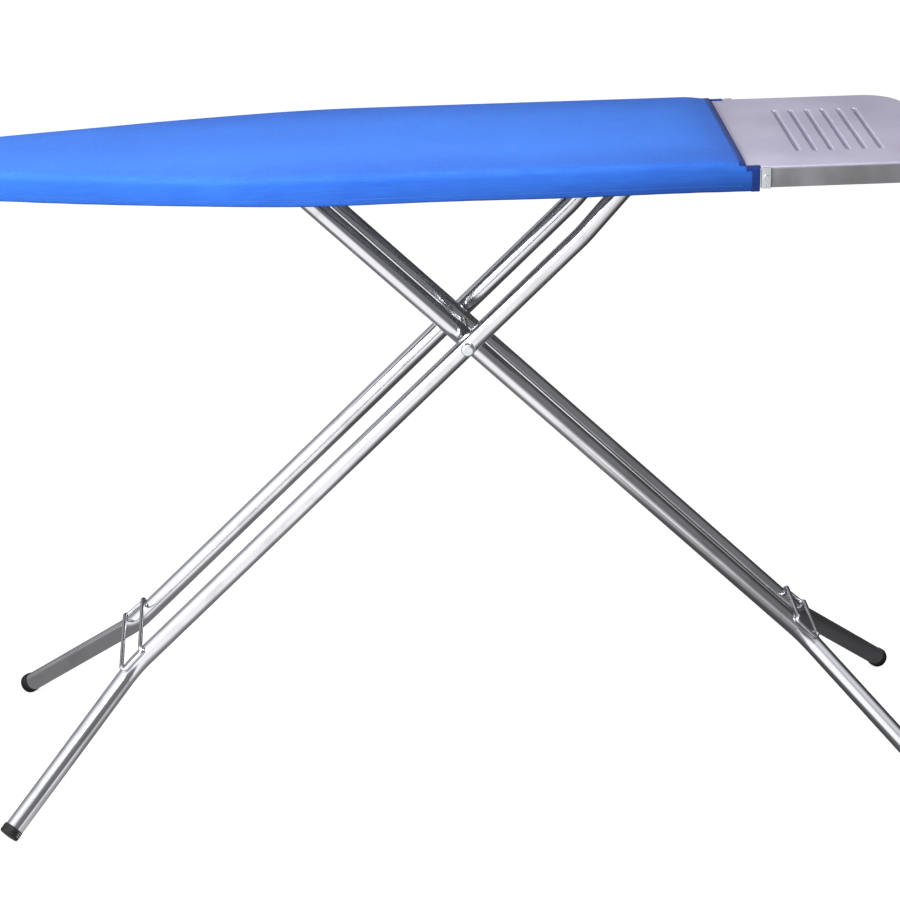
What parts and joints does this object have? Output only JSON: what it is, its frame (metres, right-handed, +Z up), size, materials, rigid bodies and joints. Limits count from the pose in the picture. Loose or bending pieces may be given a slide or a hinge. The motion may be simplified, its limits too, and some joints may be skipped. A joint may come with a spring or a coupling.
{
  "type": "ironing board",
  "caption": "Folding ironing board: padded cloth-covered deck with a round nose, sheet-metal iron rest and crossed chromed tube legs that fold flat.",
  "frame": {"origin": "middle of the bottom of the open board's bounding box, on the floor", "axes": "+X along the board from the round nose to the square heel with the iron rest, +Y across it to the back, +Z up"},
  "size_m": [1.3763, 0.4596, 0.88],
  "materials": {
    "cover_cloth": "woven cotton",
    "pad_felt": "felt",
    "deck_enamel": "semi-gloss enamel",
    "tray_enamel": "satin enamel",
    "bracket_zinc": "zinc plated",
    "leg_chrome": "polished",
    "cap_rubber": "matte",
    "black_plastic": "moulded",
    "white_nylon": "moulded"
  },
  "bodies": {
    "deck": {"catch_pin": "bracket_zinc", "catch_spring": "bracket_zinc", "cover": "cover_cloth", "deck_panel": "deck_enamel", "deck_rib_heel_1": "deck_enamel", "deck_rib_heel_2": "deck_enamel", "deck_rib_nose_1": "deck_enamel", "deck_rib_nose_2": "deck_enamel", "deck_rim_back": "deck_enamel", "deck_rim_front": "deck_enamel", "deck_rim_heel": "deck_enamel", "foam_pad": "pad_felt", "iron_rest_arm_back": "deck_enamel", "iron_rest_arm_front": "deck_enamel", "iron_rest_arm_screws": "bracket_zinc", "iron_rest_bracket_back": "bracket_zinc", "iron_rest_bracket_front": "bracket_zinc", "iron_rest_bracket_screws": "bracket_zinc", "iron_rest_tray": "tray_enamel", "pivot_saddle_back": "deck_enamel", "pivot_saddle_front": "deck_enamel", "rail_screws": "bracket_zinc", "saddle_screws": "bracket_zinc", "slide_rail_back": "deck_enamel", "slide_rail_front": "deck_enamel"},
    "outer_leg": {"outer_cross_tube": "leg_chrome", "outer_foot_brace": "leg_chrome", "outer_foot_cap_back": "cap_rubber", "outer_foot_cap_front": "cap_rubber", "outer_leg_plugs": "black_plastic", "outer_leg_tube_back": "leg_chrome", "outer_leg_tube_front": "leg_chrome", "crossing_bolt": "bracket_zinc", "crossing_nut": "bracket_zinc", "crossing_washers": "leg_chrome", "crossing_spacers": "black_plastic"},
    "inner_leg": {"inner_foot_brace": "leg_chrome", "inner_foot_cap_back": "cap_rubber", "inner_foot_cap_front": "cap_rubber", "inner_leg_plugs": "black_plastic", "inner_leg_tube_back": "leg_chrome", "inner_leg_tube_front": "leg_chrome", "inner_top_rod": "bracket_zinc", "rod_bushings": "white_nylon", "crossing_sleeve": "bracket_zinc"},
    "height_catch": {"catch_bar": "bracket_zinc", "catch_wire": "leg_chrome", "catch_grip": "black_plastic"}
  },
  "joints": [
    {"name": "leg_fold", "type": "hinge", "parent": "deck", "child": "outer_leg", "pos_m": [0.26841, 0, 0.826], "axis": [0, 1, 0], "range_deg": [0, 41.5]},
    {"name": "inner_swing", "type": "hinge", "parent": "outer_leg", "child": "inner_leg", "pos_m": [0.05682, 0, 0.61843], "axis": [0, 1, 0], "range_deg": [-83, 0]},
    {"name": "catch_press", "type": "hinge", "parent": "deck", "child": "height_catch", "pos_m": [-0.3776, 0, 0.8528], "axis": [0, -1, 0], "range_deg": [0, 1.8], "stiffness_Nm_per_rad": 8, "springref_deg": -5.73, "deforming": ["catch_spring"]}
  ],
  "couplings": [
    {"joint": "inner_swing", "follows": "leg_fold", "ratio": -2}
  ]
}
